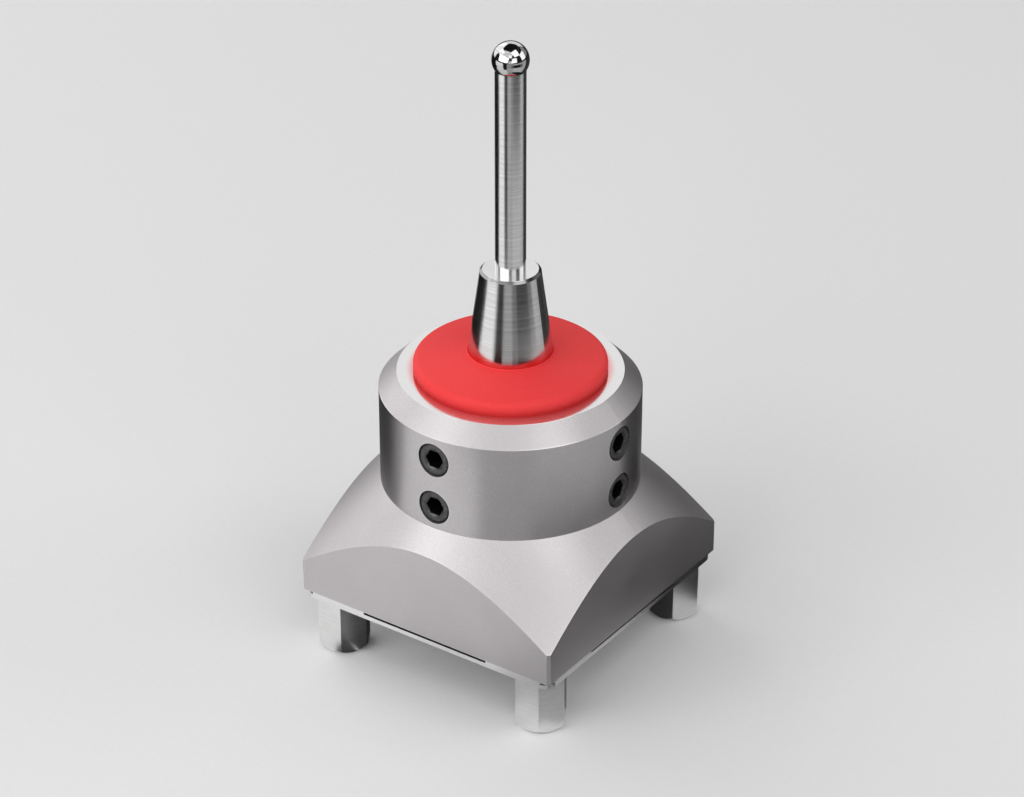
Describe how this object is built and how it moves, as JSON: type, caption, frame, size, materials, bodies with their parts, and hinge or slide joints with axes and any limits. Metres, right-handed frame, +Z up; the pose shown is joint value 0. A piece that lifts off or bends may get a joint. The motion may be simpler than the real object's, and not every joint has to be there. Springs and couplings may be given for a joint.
{
  "type": "centering probe",
  "caption": "Spring-loaded stylus with a ball tip, sealed by a rubber diaphragm in the round boss of a square holder, for finding edges and centres on a machine.",
  "frame": {"origin": "centre of the square that the support posts' lower ends stand on, at floor level", "axes": "+Z up along the stylus, -Y the front side of the square holder, +X its right side"},
  "size_m": [0.05, 0.05, 0.1079],
  "materials": {
    "holder_steel": "bead-blasted stainless steel, satin",
    "plate_steel": "ground spring steel",
    "post_steel": "hardened steel, finely ground",
    "black_oxide": "black oxide on steel, semi-matt",
    "sleeve_aluminium": "turned aluminium",
    "bronze": "turned bearing bronze",
    "gimbal_steel": "turned steel",
    "pin_steel": "ground dowel pin",
    "spring_steel": "oil-tempered spring steel",
    "hub_steel": "turned stainless steel, bright, with fine turning lines",
    "stem_steel": "ground stainless steel, bright",
    "ball_chrome": "lapped mirror finish",
    "red_rubber": "moulded silicone rubber, satin"
  },
  "bodies": {
    "holder": {"holder_body": "holder_steel", "centring_plate": "plate_steel", "probe_sleeve": "sleeve_aluminium", "sleeve_cap": "sleeve_aluminium", "press_spring": "spring_steel", "diaphragm": "red_rubber", "support_post_front_left": "post_steel", "plate_screw_front_left": "black_oxide", "support_post_front_right": "post_steel", "plate_screw_front_right": "black_oxide", "support_post_rear_right": "post_steel", "plate_screw_rear_right": "black_oxide", "support_post_rear_left": "post_steel", "plate_screw_rear_left": "black_oxide", "set_screw_front_upper": "black_oxide", "set_screw_front_lower": "black_oxide", "set_screw_right_upper": "black_oxide", "set_screw_right_lower": "black_oxide", "set_screw_rear_upper": "black_oxide", "set_screw_rear_lower": "black_oxide", "set_screw_left_upper": "black_oxide", "set_screw_left_lower": "black_oxide"},
    "slider": {"cradle": "bronze", "centring_spring": "spring_steel"},
    "gimbal": {"gimbal_ring": "gimbal_steel", "cradle_pin_right": "pin_steel", "cradle_pin_left": "pin_steel", "hub_pin_front": "pin_steel", "hub_pin_rear": "pin_steel"},
    "stylus": {"stylus_hub": "hub_steel", "stylus_stem": "stem_steel", "stylus_ball": "ball_chrome"}
  },
  "joints": [
    {"name": "stylus_press", "type": "slide", "parent": "holder", "child": "slider", "axis": [0, 0, -1], "range_m": [0, 0.002], "stiffness_N_per_m": 1500, "springref_m": -0.003, "deforming": ["press_spring", "diaphragm"]},
    {"name": "stylus_tilt_x", "type": "hinge", "parent": "slider", "child": "gimbal", "pos_m": [0, 0, 0.0474], "axis": [1, 0, 0], "range_deg": [-5, 5], "stiffness_Nm_per_rad": 0.8},
    {"name": "stylus_tilt_y", "type": "hinge", "parent": "gimbal", "child": "stylus", "pos_m": [0, 0, 0.0474], "axis": [0, 1, 0], "range_deg": [-5, 5], "stiffness_Nm_per_rad": 0.8}
  ]
}
